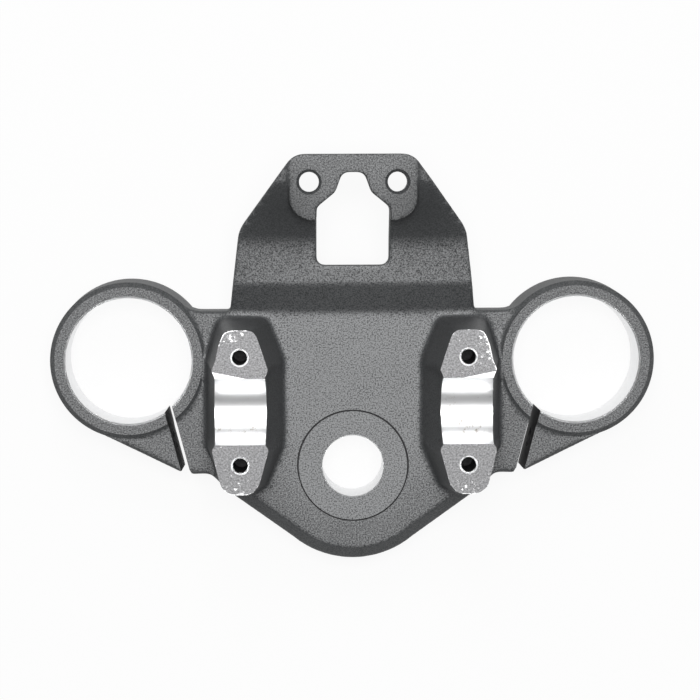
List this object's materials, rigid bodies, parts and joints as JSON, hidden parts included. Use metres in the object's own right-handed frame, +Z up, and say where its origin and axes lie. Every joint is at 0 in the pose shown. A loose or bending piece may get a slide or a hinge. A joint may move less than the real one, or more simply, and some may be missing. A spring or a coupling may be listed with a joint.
{
  "type": "steering stem top yoke",
  "caption": "Cast top yoke: split fork clamps either side of a stem boss, raised handlebar risers with round seats, and a swept-up front bracket with a shouldered window.",
  "frame": {"origin": "on the stem bore's axis, at the height of the clamp rings' bottom faces", "axes": "+Z up along the steering axis, +Y to the bike's front, +X to the right seen from above with the front at the top"},
  "size_m": [0.2078, 0.139, 0.051],
  "materials": {
    "cast_aluminium": "textured dark grey coat over cast aluminium, bare machined seats and bores"
  },
  "bodies": {
    "root": {"top_yoke": "cast_aluminium"}
  },
  "joints": []
}
